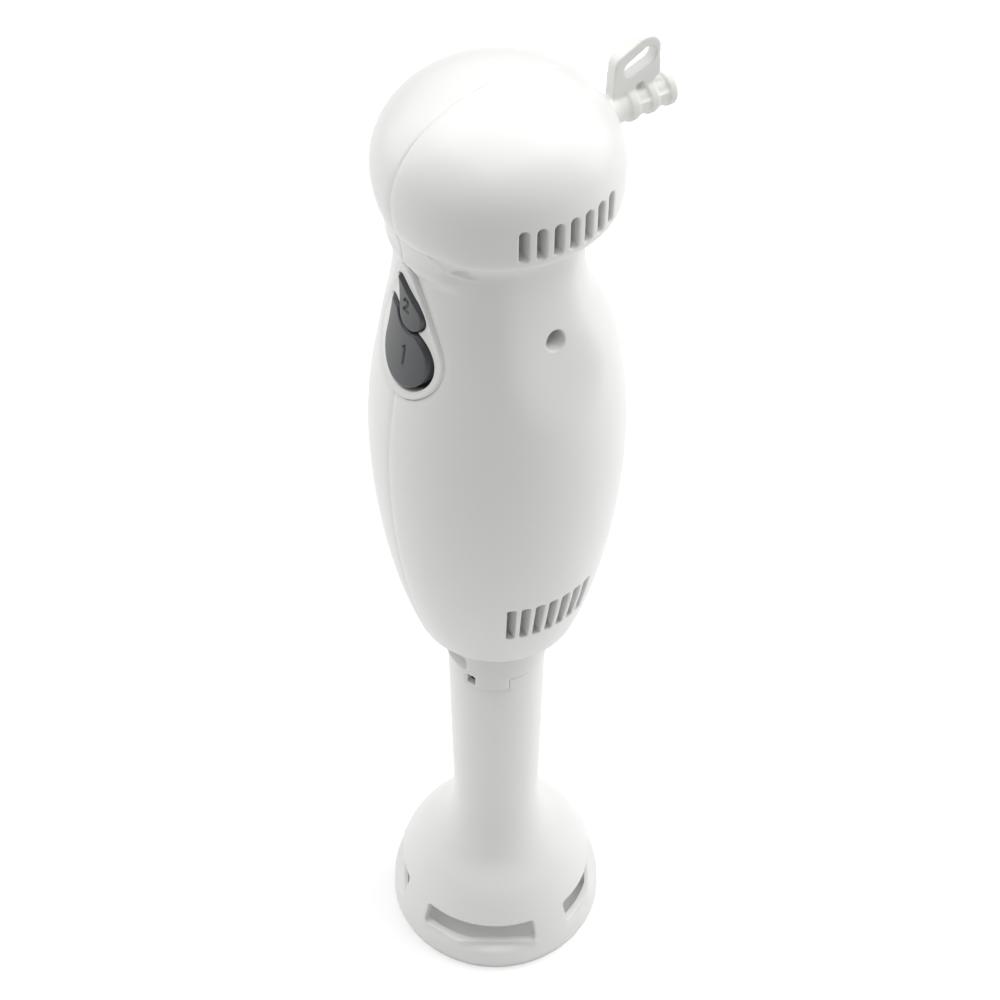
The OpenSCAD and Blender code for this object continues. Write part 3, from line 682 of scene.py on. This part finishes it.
def footSurface(turn, flow):
    turn, flow = np.asarray(turn, float), np.asarray(flow, float)
    radius = np.interp(flow, footFlow, bellLine[:, 0])
    height = np.interp(flow, footFlow, bellLine[:, 1])
    for at in foot["slotAt"]:
        local = (np.degrees(turn) - at + 180) % 360 - 180
        for a0, a1 in zip(foot["bends"][:-1], foot["bends"][1:]):
            mid, half = math.radians((a0 + a1) / 2), math.radians((a1 - a0) / 2)
            here = (local >= a0 - 4) & (local <= a1 + 4)
            flatRadius = foot["facet"] * math.cos(half) / np.cos(np.clip(np.radians(local) - mid, -1.2, 1.2))
            cut = np.maximum(radius - flatRadius, 0)
            rows = easeStep(foot["recess"][0] - 1.0, foot["recess"][0] + 1.1, height) * (
                1 - easeStep(foot["recess"][1] - 0.6, foot["recess"][1] + 2.4, height)
            )
            sides = easeStep(-38.4, -36.4, local) * (1 - easeStep(33.6, 35.6, local))
            mine = (local >= a0 - (4 if a0 == foot["bends"][0] else 0)) & (
                local < a1 + (4 if a1 == foot["bends"][-1] else 0)
            )
            radius = np.where(mine & here, radius - cut * rows * sides, radius)
    return np.stack([radius * np.cos(turn), radius * np.sin(turn), height], 1)


def footFlowAt(height):
    return float(np.interp(height, bellLine[:, 1], footFlow))


def footShell():
    scale, spacing = foot["scale"], foot["spacing"]
    full = 2 * math.pi * scale
    topFlow = footEnd
    z0, z1 = footFlowAt(foot["open"][0]), footFlowAt(foot["open"][1])
    slots = []
    for at in foot["slotAt"]:
        a0, a1 = math.radians((at % 360) - 35) * scale, math.radians((at % 360) + 33.5) * scale
        slots.append(roundedBox(a0, a1, z0, z1, 1.8, 1.3, 0.45))
    # rows of points are closer together at the slots and at the mouth
    bands = [
        np.arange(0.7, footFlowAt(7.4), 1.1),
        np.arange(footFlowAt(7.8), footFlowAt(25), 0.55),
        np.arange(footFlowAt(25.5), footFlowAt(60), 1.1),
        np.arange(footFlowAt(61.5), topFlow - 6, 2.2),
        np.arange(topFlow - 5, topFlow - 0.5, 0.6),
    ]
    flows = np.concatenate(bands)
    # the notch that the collar's tongue fills
    n0, n1 = math.radians(360 - 72.6) * scale, math.radians(360 - 19.7) * scale
    notchLow = topFlow - 4.7
    top = [[full, topFlow], [n1 + 0.5, topFlow], [n1, topFlow - 0.5]]
    top += arcPoints((n1 - 0.8, notchLow + 0.8), 0.8, 0, -math.pi / 2, 0.25).tolist()
    top += arcPoints((n0 + 0.8, notchLow + 0.8), 0.8, 1.5 * math.pi, math.pi, 0.25).tolist()
    top += [[n0, topFlow - 0.5], [n0 - 0.5, topFlow], [0, topFlow]]
    topLine = evenLine(np.array(top, float), 0.9)
    bottomLine = evenLine(np.array([[0, 0], [full, 0]], float), spacing)
    side = flows[flows < topFlow - 0.3]
    outline = unrolled(full, bottomLine, topLine, side)
    rows = []
    for f in flows:
        radius = float(np.interp(f, footFlow, bellLine[:, 0]))
        fine = footFlowAt(8) < f < footFlowAt(24)
        n = int(round(2 * math.pi * radius / (0.9 if fine else spacing)))
        u = np.linspace(0, full, n + 1)[1:-1]
        rows.append(np.stack([u, np.full(len(u), f)], 1))
    ends = []
    for at in foot["slotAt"]:
        for edge in (-1, 1):
            for shift in (-0.3, 0.0, 0.35, 0.7, 1.05, 1.4):
                a = math.radians((at % 360) + edge * (33.6 + shift * 1.6)) * scale
                f = np.arange(footFlowAt(8), footFlowAt(23.5), 0.6)
                ends.append(np.stack([np.full(len(f), a), f], 1))
    flat, tris = layOut(
        outline, slots, np.concatenate(rows + ends), [(s, [0.08, 0.2, 0.4]) for s in slots], 0.9
    )
    turn, flow = flat[:, 0] / scale, flat[:, 1]
    base = footSurface(turn, flow)
    normal = surfaceNormal(footSurface, turn, np.clip(flow, 0.15, footEnd), footEnd)
    slotGap = np.min([lineDistance(flat, s) for s in slots], axis=0)
    drop = edgeRound(slotGap, 0.4) + edgeRound(flow, 0.8) + edgeRound(lineDistance(flat, topLine, False), 0.4)
    outer = base - normal * drop[:, None]
    plain = np.minimum(np.interp(flow, footFlow, bellLine[:, 0]), np.hypot(base[:, 0], base[:, 1]) + 1.1)
    thick = np.interp(base[:, 2], [0, 5, 20, 34, 44, 60, 110, 135], [2.7, 2.7, 2.3, 2.4, 2.6, 2.5, 2.2, 2.0])
    innerRadius = plain - thick - np.interp(base[:, 2], [0, 12, 24, 34], [0, 0.2, 0.9, 0.4])
    inner = np.stack([innerRadius * np.cos(turn), innerRadius * np.sin(turn), base[:, 2]], 1)
    return shellFrom("footShell", outer, inner, tris)


def turnedRing(name, profile, steps=96):
    # closed ring from a closed outline of radius and height
    n = len(profile)
    turn = np.arange(steps) * 2 * math.pi / steps
    points = np.concatenate(
        [np.stack([profile[:, 0] * math.cos(a), profile[:, 0] * math.sin(a), profile[:, 1]], 1) for a in turn]
    )
    faces = []
    for k in range(steps):
        m = (k + 1) % steps
        faces += [(k * n + i, m * n + i, m * n + (i + 1) % n, k * n + (i + 1) % n) for i in range(n)]
    return meshFrom(name, points, faces)


print("moulding the foot")
bossProfile = evenLoop(
    np.array(
        [
            [4.0, 20.6], [8.3, 20.6], [8.5, 20.8], [8.5, 37.2], [9.3, 38.0], [12.4, 38.4], [14.0, 40.5],
            [13.4, 46.4], [5.5, 46.4], [5.5, 22.6], [4.0, 22.6],
        ],
        float,
    ),
    1.5,
)
upperBoss = evenLoop(np.array([[5.5, 110], [14.2, 110], [14.2, 122], [5.5, 122]], float), 2.0)
footPiece = joined("foot", [footShell(), turnedRing("boss", bossProfile), turnedRing("upperBoss", upperBoss)])
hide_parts("foot")
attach(footPiece, "foot")

# ---- collar under the body, with its window and its tongue ----

collar = {
    "outer": 15.9, "inner": 13.5, "low": 135.4, "high": 159.4, "tongue": (-60.0, -20.5, 130.8),
    "window": (-113.0, -76.5, -70.8, 137.2, 151.5), "edge": 0.4,
}


def collarShell():
    c = collar
    r = c["outer"]
    u = lambda degrees: math.radians(degrees % 360) * r
    full = 2 * math.pi * r
    t0, t1 = u(c["tongue"][0]), u(c["tongue"][1])
    low, tip = c["low"], c["tongue"][2]
    bottom = [[0, low], [t0 - 0.6, low], [t0, low - 0.6]]
    bottom += arcPoints((t0 + 0.9, tip + 0.9), 0.9, math.pi, 1.5 * math.pi, 0.25).tolist()
    bottom += arcPoints((t1 - 0.9, tip + 0.9), 0.9, -math.pi / 2, 0, 0.25).tolist()
    bottom += [[t1, low - 0.6], [t1 + 0.6, low], [full, low]]
    bottomLine = evenLine(np.array(bottom, float), 0.6)
    topLine = evenLine(np.array([[full, c["high"]], [0, c["high"]]], float), 1.0)
    rows = np.arange(low + 0.5, c["high"] - 0.3, 0.8)
    outline = unrolled(full, bottomLine, topLine, rows)
    w0, w1, w2, z0, z1 = c["window"]
    window = evenLoop(
        np.array([[u(w0), z0], [u(w2) - 0.5, z0], [u(w2), z0 + 0.5], [u(w1), z1], [u(w0), z1]], float), 0.5
    )
    grid = gridOver(outline, 0.9)
    follow = [bottomLine + np.array([0, d]) for d in (0.1, 0.22, 0.42)]
    flat, tris = layOut(outline, [window], np.concatenate([grid] + follow), [(window, [0.1, 0.25, 0.45])], 0.35)
    drop = edgeRound(lineDistance(flat, bottomLine, False), c["edge"]) + edgeRound(
        lineDistance(flat, window), c["edge"]
    )
    turn = flat[:, 0] / r
    radius = r - drop
    outer = np.stack([radius * np.cos(turn), radius * np.sin(turn), flat[:, 1]], 1)
    inner = np.stack([c["inner"] * np.cos(turn), c["inner"] * np.sin(turn), flat[:, 1]], 1)
    return shellFrom("collar", outer, inner, tris)


flange = evenLoop(
    np.array([[13.5, 157.2], [19.0, 157.2], [19.0, 160.2], [17.0, 160.2], [17.0, 158.4], [13.5, 158.4]], float),
    1.5,
)
sleeve = evenLoop(np.array([[13.15, 135.7], [13.55, 135.7], [13.55, 152.5], [13.15, 152.5]], float), 1.5)
collarPiece = joined("mouthCollar", [collarShell(), turnedRing("flange", flange), turnedRing("sleeve", sleeve)])
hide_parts("mouth_collar")
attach(collarPiece, "housing")

# ---- cord gland with its ribs and its flat hanging loop ----

gland = {
    "height": 326.0, "bore": 3.1, "end": 53.3, "ribs": (40.0, 46.1, 52.2), "ribWidth": 2.3,
    "ribRadius": 4.95, "voxel": 0.32, "loopThickness": 3.4,
}


def turnedAlongY(profile, steps=64):
    n = len(profile)
    turn = np.arange(steps) * 2 * math.pi / steps
    along, radius = profile.T
    rings = [np.stack([radius * math.cos(a), along, gland["height"] + radius * math.sin(a)], 1) for a in turn]
    points = np.concatenate(rings)
    faces = []
    for k in range(steps):
        m = (k + 1) % steps
        faces += [(k * n + i, m * n + i, m * n + (i + 1) % n, k * n + (i + 1) % n) for i in range(n)]
    return meshFrom("part", points, faces)


def prismAcross(outline, x0, x1):
    n = len(outline)
    points = np.concatenate([np.column_stack([np.full(n, x), outline]) for x in (x0, x1)])
    faces = [tuple(range(n))[::-1], tuple(range(n, 2 * n))] + [
        (i, (i + 1) % n, n + (i + 1) % n, n + i) for i in range(n)
    ]
    return meshFrom("part", points, faces)


def hullLoop(circles, step=0.5):
    points = np.concatenate([arcPoints(c[:2], c[2], 0, 2 * math.pi, step) for c in circles])
    order = points[np.lexsort((points[:, 1], points[:, 0]))].tolist()
    cross = lambda o, a, b: (a[0] - o[0]) * (b[1] - o[1]) - (a[1] - o[1]) * (b[0] - o[0])
    chains = []
    for run in (order, order[::-1]):
        chain = []
        for p in run:
            while len(chain) >= 2 and cross(chain[-2], chain[-1], p) <= 0:
                chain.pop()
            chain.append(p)
        chains += chain[:-1]
    return evenLoop(np.array(chains), step)


def cordGland():
    g = gland
    w, r, bore = g["ribWidth"] / 2, g["ribRadius"], g["bore"]
    sleeve = [
        (22.0, bore), (22.0, 4.6), (26.6, 4.7), (26.8, 6.2), (29.0, 6.2), (29.2, 4.75), (32.6, 4.75),
        (35.6, 4.2), (g["end"], 4.1), (g["end"], bore),
    ]
    parts = [turnedAlongY(np.array(sleeve, float))]
    for y in g["ribs"]:
        parts.append(turnedAlongY(np.array([(y - w, bore), (y - w, r), (y + w, r), (y + w, bore)], float)))
    sides = [(g["ribs"][0], 324.2), (g["ribs"][2], 324.2), (g["ribs"][2], 327.8), (g["ribs"][0], 327.8)]
    parts.append(prismAcross(np.array(sides), -4.5, 4.5))
    loop = hullLoop([(36.6, 331.5, 2.4), (37.9, 339.3, 3.2), (44.6, 340.6, 4.6), (47.2, 333, 2.2)])
    half = g["loopThickness"] / 2
    parts.append(prismAcross(loop, -half, half))
    body = joined("cordGland", parts)
    cutters = []
    slot = hullLoop([(39.9, 337.5, 2.3), (44.9, 339.5, 2.7)])
    cutters.append(prismAcross(slot, -4, 4))
    for y in (g["ribs"][0] + w + 1.9, g["ribs"][1] + w + 1.9):
        for top in (1, -1):
            low, high = g["height"] + top * 3.5, g["height"] + top * 6
            pocket = np.array([[y - 1.15, low], [y + 1.15, low], [y + 1.15, high], [y - 1.15, high]])
            x0, x1 = (0.7, 6.0) if top > 0 else (-1.6, 1.6)
            cutters.append(prismAcross(pocket if top > 0 else pocket[::-1], x0, x1))
            if top > 0:
                cutters.append(prismAcross(pocket, -6.0, -0.7))
    cutters.append(turnedAlongY(np.array([(15.0, 0.01), (15.0, bore), (60.0, bore), (60.0, 0.01)], float)))
    remesh = body.modifiers.new("union", "REMESH")
    remesh.mode, remesh.voxel_size = "VOXEL", g["voxel"] * mm
    bake(body)
    for cutter in cutters:
        cut = body.modifiers.new("cut", "BOOLEAN")
        cut.operation, cut.solver, cut.object = "DIFFERENCE", "EXACT", cutter
        bake(body)
        bpy.data.objects.remove(cutter)
    soften = body.modifiers.new("remesh", "REMESH")
    soften.mode, soften.voxel_size = "VOXEL", g["voxel"] * mm
    smooth = body.modifiers.new("smooth", "SMOOTH")
    smooth.factor, smooth.iterations = 0.5, 5
    bake(body)
    for f in body.data.polygons:
        f.use_smooth = True
    return body


def bake(piece):
    bpy.context.view_layer.update()
    mesh = bpy.data.meshes.new_from_object(piece.evaluated_get(bpy.context.evaluated_depsgraph_get()))
    piece.modifiers.clear()
    piece.data = mesh


print("moulding the cord gland")
glandPiece = cordGland()
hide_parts("cord_gland")
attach(glandPiece, "housing")

# ---- finishes ----


def linear(hexColour):
    # sRGB hex to the renderer's linear values
    parts = [int(hexColour[i:i + 2], 16) / 255 for i in (1, 3, 5)]
    return tuple(c / 12.92 if c <= 0.04045 else ((c + 0.055) / 1.055) ** 2.4 for c in parts) + (1.0,)


def addNode(tree, kind, settings=None, values=None, links=None):
    node = tree.nodes.new(kind)
    for key, value in (settings or {}).items():
        setattr(node, key, value)
    for key, value in (values or {}).items():
        node.inputs[key].default_value = value
    for key, source in (links or {}).items():
        tree.links.new(source, node.inputs[key])
    return node


def finish(
    name, base, roughness, metallic=0.0, vary=0.03, grain=0.4, bump=0.02, coat=0.0, ior=1.5,
    stretch=(1, 1, 1), roughVary=0.05, sheen=0.0, bands=None,
):
    # base colour with slow variation, and a fine surface grain whose size is given in millimetres
    material = bpy.data.materials.new(name)
    material.use_nodes = True
    tree = material.node_tree
    shader = tree.nodes["Principled BSDF"]
    shader.inputs["Metallic"].default_value = metallic
    if not metallic:
        shader.inputs["IOR"].default_value = ior
    shader.inputs["Coat Weight"].default_value = coat
    shader.inputs["Sheen Weight"].default_value = sheen
    where = addNode(tree, "ShaderNodeTexCoord")
    placed = addNode(tree, "ShaderNodeMapping", {}, {"Scale": stretch}, {"Vector": where.outputs["Object"]})
    slow = addNode(
        tree, "ShaderNodeTexNoise", {}, {"Scale": 28.0, "Detail": 3.0}, {"Vector": where.outputs["Object"]}
    )
    fine = addNode(
        tree, "ShaderNodeTexNoise", {}, {"Scale": 1000 / grain, "Detail": 2.0},
        {"Vector": placed.outputs["Vector"]},
    )
    dark = tuple(c * (1 - vary) for c in linear(base)[:3]) + (1.0,)
    tint = addNode(tree, "ShaderNodeMix", {"data_type": "RGBA"}, {}, {0: slow.outputs["Fac"]})
    tint.inputs[6].default_value, tint.inputs[7].default_value = dark, linear(base)
    colour = tint.outputs[2]
    if bands:
        wave = addNode(
            tree, "ShaderNodeTexWave", {"wave_type": "BANDS", "bands_direction": bands[0]},
            {"Scale": bands[1], "Distortion": bands[2]}, {"Vector": where.outputs["Object"]},
        )
        mixed = addNode(tree, "ShaderNodeMix", {"data_type": "RGBA"}, {}, {0: wave.outputs["Fac"], 6: colour})
        mixed.inputs[7].default_value = tuple(c * 0.55 for c in linear(base)[:3]) + (1.0,)
        colour = mixed.outputs[2]
    tree.links.new(colour, shader.inputs["Base Color"])
    gloss = addNode(
        tree, "ShaderNodeMapRange", {},
        {"To Min": roughness - roughVary, "To Max": roughness + roughVary},
        {"Value": fine.outputs["Fac"]},
    )
    tree.links.new(gloss.outputs["Result"], shader.inputs["Roughness"])
    relief = addNode(
        tree, "ShaderNodeBump", {}, {"Strength": 0.5, "Distance": bump * mm}, {"Height": fine.outputs["Fac"]}
    )
    tree.links.new(relief.outputs["Normal"], shader.inputs["Normal"])
    return material


finishes = {
    # injection-moulded ABS: white, satin, with a trace of spark texture drawn at 0.7 mm so that it shows
    "white_abs": finish("whiteMouldedAbs", "#e5e5e3", 0.34, vary=0.012, grain=0.7, bump=0.01, ior=1.53),
    # soft PVC: matt and a little warmer than the shells
    "white_gland": finish("softPvc", "#e2e2df", 0.55, vary=0.02, grain=0.9, bump=0.03, ior=1.52),
    # soft-touch coated ABS: dark grey with a wide dull sheen
    "button_grey": finish("softTouchGrey", "#454749", 0.4, vary=0.08, grain=0.5, bump=0.03, sheen=0.15),
    "steel": finish("turnedSteel", "#c4c7ca", 0.3, metallic=1.0, grain=0.3, bump=0.004, stretch=(0.2, 0.2, 1)),
    # blade: stainless sheet, ground along its length
    "blade_steel": finish(
        "groundStainless", "#d2d4d6", 0.24, metallic=1.0, grain=0.25, bump=0.006, stretch=(0.05, 1, 1)
    ),
    "inner_plastic": finish("mouldedNylon", "#dcdcd4", 0.5, grain=0.8, bump=0.02),
    "black_plastic": finish("blackPolyamide", "#1c1c1e", 0.45, vary=0.1, grain=0.7, bump=0.02),
    "dark_plastic": finish("glassFilledNylon", "#3a3b3d", 0.55, vary=0.12, grain=0.35, bump=0.04),
    "board_green": finish("solderMask", "#1f6a3a", 0.3, vary=0.1, grain=1.5, bump=0.01, coat=0.3),
    "capacitor_yellow": finish("mouldedBox", "#d8b838", 0.35, grain=0.8, bump=0.01),
    "lead_red": finish("pvcSleeve", "#b3372f", 0.4, grain=0.6, bump=0.01),
    # stator and armature: 0.5 mm steel sheets, drawn as bands
    "laminations": finish(
        "steelLaminations", "#8b8d92", 0.5, metallic=0.8, grain=0.4, bump=0.02, bands=("Z", 320.0, 0.4)
    ),
    "copper": finish(
        "enamelledCopper", "#b8642e", 0.35, metallic=0.9, grain=0.3, bump=0.03, coat=0.4,
        bands=("DIAGONAL", 420.0, 1.0),
    ),
    "brass": finish("machinedBrass", "#c9a75e", 0.3, metallic=1.0, grain=0.3, bump=0.006),
    "carbon": finish("pressedCarbon", "#151515", 0.6, vary=0.2, grain=0.25, bump=0.03),
    "rubber": finish("mouldedRubber", "#1a1a1a", 0.75, vary=0.1, grain=0.5, bump=0.03),
}
print("finishing the pieces")
slotOf = {m["slot"]: finishes[m["slot"]] for m in frame["record"]["materials"]}
for piece, slotName in [(p, "white_abs") for p in (*halves.values(), bezel, footPiece, collarPiece)] + [
    (lowButton, "button_grey"), (highButton, "button_grey"), (glandPiece, "white_gland")
]:
    piece.data.materials.clear()
    piece.data.materials.append(finishes[slotName])
for piece in frame["nodes"].values():
    for i, slot in enumerate(piece.material_slots):
        key = slot.material.name.split(".")[0] if slot.material else ""
        slot.material = slotOf.get(key, slot.material)

# ---- camera, floor and light ----

camera = {
    "spot": (348.5, -244.1, 658.7), "down": 47.1, "around": -35.0, "lens": 77.0,
    "sideways": 3.2 / 2138.8, "roll": 0.277,
}
print("placing the camera and the lights")
a, d = math.radians(camera["around"]), math.radians(camera["down"])
forward = Vector((-math.cos(d) * math.cos(a), -math.cos(d) * math.sin(a), -math.sin(d)))
rightWay = Vector((-math.sin(a), math.cos(a), 0))
forward = (forward + rightWay * camera["sideways"]).normalized()
rightWay = forward.cross(Vector((0, 0, 1))).normalized()
upWay = rightWay.cross(forward).normalized()
lean = math.radians(camera["roll"])
upLean = (upWay * math.cos(lean) - rightWay * math.sin(lean)).normalized()
rightLean = forward.cross(upLean).normalized()
cameraData = bpy.data.cameras.new("camera")
cameraData.lens, cameraData.sensor_width = camera["lens"], 36.0
cameraData.clip_start, cameraData.clip_end = 0.05, 20
cameraPiece = bpy.data.objects.new("camera", cameraData)
cameraPiece.matrix_world = Matrix((
    (rightLean.x, upLean.x, -forward.x, camera["spot"][0] * mm),
    (rightLean.y, upLean.y, -forward.y, camera["spot"][1] * mm),
    (rightLean.z, upLean.z, -forward.z, camera["spot"][2] * mm),
    (0, 0, 0, 1),
))
scene.collection.objects.link(cameraPiece)
scene.camera = cameraPiece

floorMesh = bpy.data.meshes.new("floor")
floorMesh.from_pydata([(-3, -3, 0), (3, -3, 0), (3, 3, 0), (-3, 3, 0)], [], [(0, 1, 2, 3)])
floor = bpy.data.objects.new("floor", floorMesh)
scene.collection.objects.link(floor)
floorFinish = finish("paleFloor", "#f6f6f6", 0.7, vary=0.004, grain=2.0, bump=0.01)
# a lit table: it glows faintly, as a light box does
floorShader = floorFinish.node_tree.nodes["Principled BSDF"]
floorShader.inputs["Emission Color"].default_value = (1, 1, 1, 1)
floorShader.inputs["Emission Strength"].default_value = 0.08
floorMesh.materials.append(floorFinish)

world = bpy.data.worlds.new("studio")
scene.world = world
world.use_nodes = True
world.node_tree.nodes["Background"].inputs["Color"].default_value = (1, 1, 1, 1)
world.node_tree.nodes["Background"].inputs["Strength"].default_value = 0.1


def softBox(name, spot, aim, width, height, power):
    data = bpy.data.lights.new(name, "AREA")
    data.shape, data.size, data.size_y, data.energy = "RECTANGLE", width, height, power
    lamp = bpy.data.objects.new(name, data)
    lamp.location = spot
    lamp.rotation_euler = (Vector(aim) - Vector(spot)).to_track_quat("-Z", "Y").to_euler()
    scene.collection.objects.link(lamp)


target = (0, 0, 0.2)
leftWay = -rightWay
backWay = Vector((forward.x, forward.y, 0)).normalized()
softBox("overhead", (0, 0, 2.2), target, 2.6, 2.6, 47)
softBox("leftBox", tuple(Vector((0, 0, 0.9)) + leftWay * 1.0 + backWay * 0.35), target, 1.0, 1.6, 7.5)
softBox("rightBox", tuple(Vector((0, 0, 0.9)) - leftWay * 1.0 + backWay * 0.35), target, 1.0, 1.6, 11)

scene.view_settings.view_transform = "Standard"
scene.view_settings.look = "None"
scene.view_settings.exposure = 0.0

print("done")
